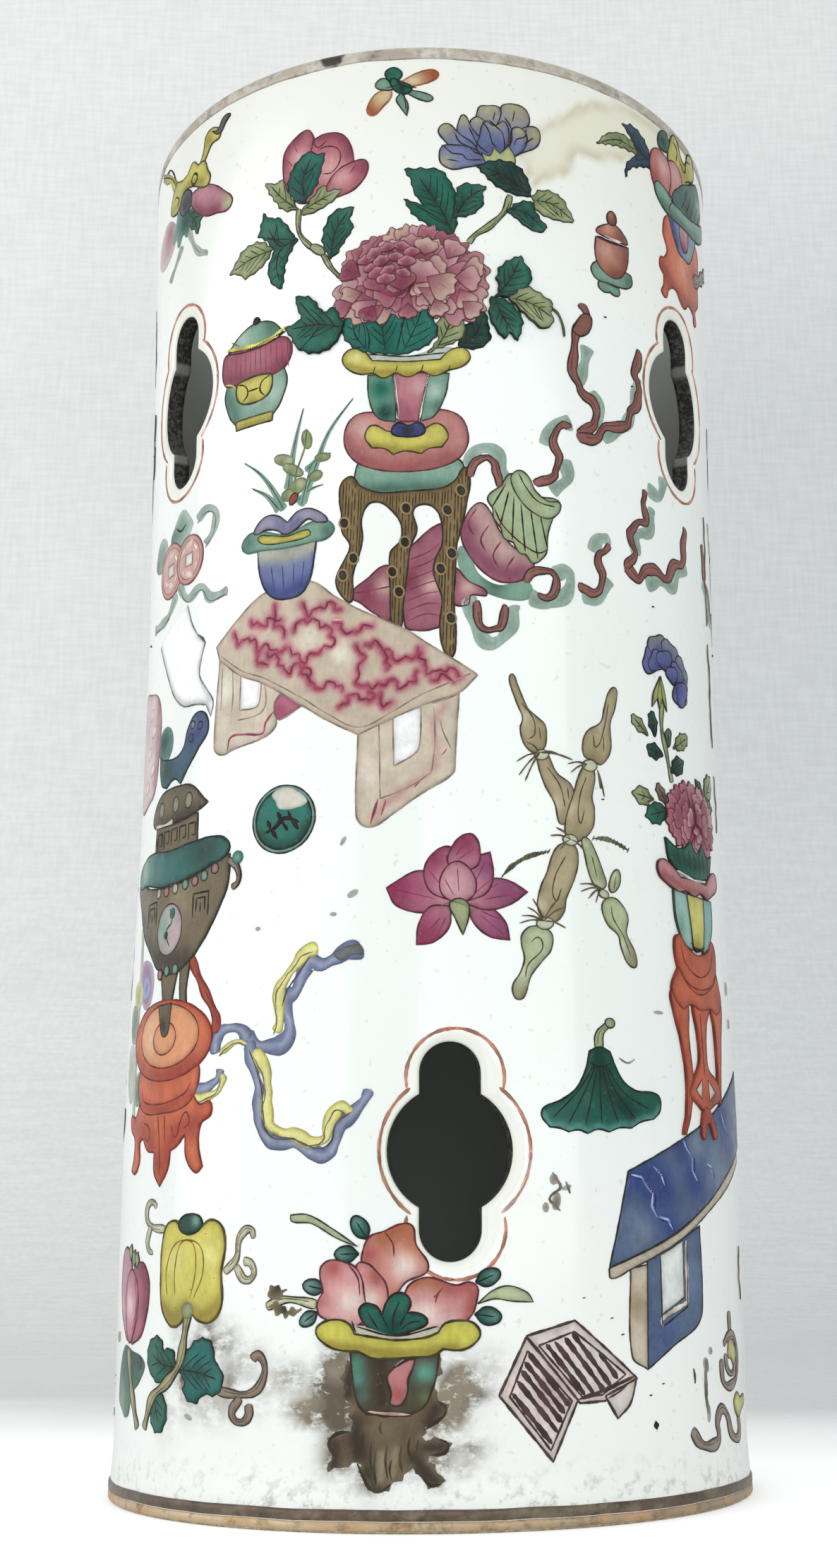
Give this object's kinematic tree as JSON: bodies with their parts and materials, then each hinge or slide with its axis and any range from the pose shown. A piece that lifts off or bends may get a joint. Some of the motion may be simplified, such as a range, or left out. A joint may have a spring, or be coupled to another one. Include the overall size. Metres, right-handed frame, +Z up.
{
  "type": "porcelain hat stand",
  "caption": "Tall open porcelain tube with a closed foot, pierced with six shaped openings, that holds a hat on its lip; enamelled outside, gilt lip and banded foot.",
  "frame": {"origin": "centre of the foot, on the surface that the stand rests on", "axes": "+Z up along the tube; -Y is the painted front of the picture, with one lower opening 3 degrees to its right"},
  "size_m": [0.1254, 0.1254, 0.28],
  "materials": {
    "glaze": "glossy cool white glaze with fine specks and stains",
    "slip": "luting slip under the glaze",
    "biscuit": "bare fired body, dusty",
    "lip_gold": "worn gilding, dull and pinkish",
    "foot_brown": "brown dressing, satin, patchy",
    "foot_gold": "worn gilding over brown, satin",
    "iron_red": "thin iron-red line, brushed"
  },
  "bodies": {
    "root": {"lower_tube_section": "glaze", "upper_tube_section": "glaze", "luting_slip_ring": "slip", "base_disc": "biscuit", "lip_gilding": "lip_gold", "foot_brown_band": "foot_brown", "foot_gilding": "foot_gold", "lower_aperture_line_1": "iron_red", "lower_aperture_line_2": "iron_red", "lower_aperture_line_3": "iron_red", "upper_aperture_line_1": "iron_red", "upper_aperture_line_2": "iron_red", "upper_aperture_line_3": "iron_red"}
  },
  "joints": []
}
